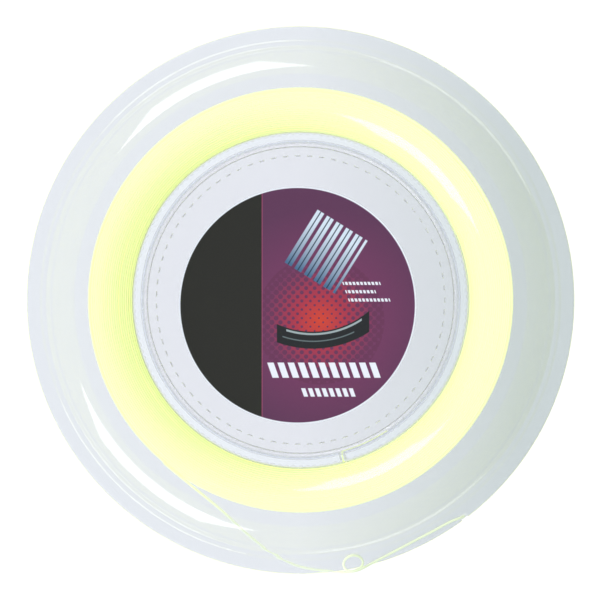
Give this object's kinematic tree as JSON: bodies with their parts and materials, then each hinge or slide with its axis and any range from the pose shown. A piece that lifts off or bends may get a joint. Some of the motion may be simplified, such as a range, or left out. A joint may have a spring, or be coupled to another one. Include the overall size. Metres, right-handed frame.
{
  "type": "string reel",
  "caption": "Clear plastic reel with two domed flanges, a fluted hub cup and a wound coil of thin yellow racket string with a loose end.",
  "frame": {"origin": "on the reel's axis, at the level of the flat crown band of the rear flange that it lies on", "axes": "+Z is the reel's axis, pointing out of the labelled front face; +Y is up on the label"},
  "size_m": [0.145, 0.145, 0.0282],
  "materials": {
    "clear_flange": "clear moulded polystyrene, polished",
    "clear_drum": "clear moulded polystyrene, fine ribs",
    "clear_cap": "clear moulded polystyrene, fluted inside",
    "label": "printed gloss label",
    "string": "coated nylon multifilament, fluorescent yellow"
  },
  "bodies": {
    "root": {"front_flange": "clear_flange", "rear_flange": "clear_flange", "winding_drum": "clear_drum", "front_hub_cap": "clear_cap", "rear_hub_cap": "clear_cap", "front_label": "label", "string_core": "string", "string_winding": "string", "string_tail": "string", "string_start": "string"}
  },
  "joints": []
}
